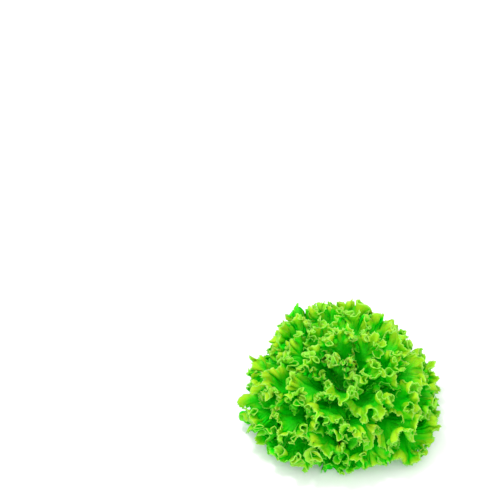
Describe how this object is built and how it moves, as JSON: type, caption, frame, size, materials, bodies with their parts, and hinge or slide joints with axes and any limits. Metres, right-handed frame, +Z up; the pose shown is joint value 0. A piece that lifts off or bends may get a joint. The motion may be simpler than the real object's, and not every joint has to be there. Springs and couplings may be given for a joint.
{
  "type": "escarole",
  "caption": "Loose head of curly escarole: ruffled, toothed leaves in a spiral round a short stem, standing on its flat cut base.",
  "frame": {"origin": "middle of the flat cut face that the head stands on", "axes": "+Z up through the heart, -Y towards the side that the picture shows"},
  "size_m": [0.2571, 0.2569, 0.111],
  "materials": {
    "outer_leaf": "deep green leaf blade with yellow-green frilled margin, slightly waxy",
    "middle_leaf": "mid green leaf blade with yellow-green frilled margin, slightly waxy",
    "heart_leaf": "light green young leaf with pale yellow-green margin",
    "stem": "pale cream-green stem, moist at the cut face"
  },
  "bodies": {
    "root": {"stem": "stem", "leaf_01": "outer_leaf", "leaf_02": "outer_leaf", "leaf_03": "outer_leaf", "leaf_04": "outer_leaf", "leaf_05": "outer_leaf", "leaf_06": "outer_leaf", "leaf_07": "outer_leaf", "leaf_08": "outer_leaf", "leaf_09": "outer_leaf", "leaf_10": "outer_leaf", "leaf_11": "outer_leaf", "leaf_12": "outer_leaf", "leaf_13": "outer_leaf", "leaf_14": "outer_leaf", "leaf_15": "middle_leaf", "leaf_16": "middle_leaf", "leaf_17": "middle_leaf", "leaf_18": "middle_leaf", "leaf_19": "middle_leaf", "leaf_20": "middle_leaf", "leaf_21": "middle_leaf", "leaf_22": "middle_leaf", "leaf_23": "middle_leaf", "leaf_24": "middle_leaf", "leaf_25": "middle_leaf", "leaf_26": "middle_leaf", "leaf_27": "middle_leaf", "leaf_28": "middle_leaf", "leaf_29": "heart_leaf", "leaf_30": "heart_leaf", "leaf_31": "heart_leaf", "leaf_32": "heart_leaf", "leaf_33": "heart_leaf", "leaf_34": "heart_leaf", "leaf_35": "heart_leaf", "leaf_36": "heart_leaf", "leaf_37": "heart_leaf", "leaf_38": "heart_leaf", "leaf_39": "heart_leaf", "leaf_40": "heart_leaf", "leaf_41": "heart_leaf", "leaf_42": "heart_leaf"}
  },
  "joints": []
}
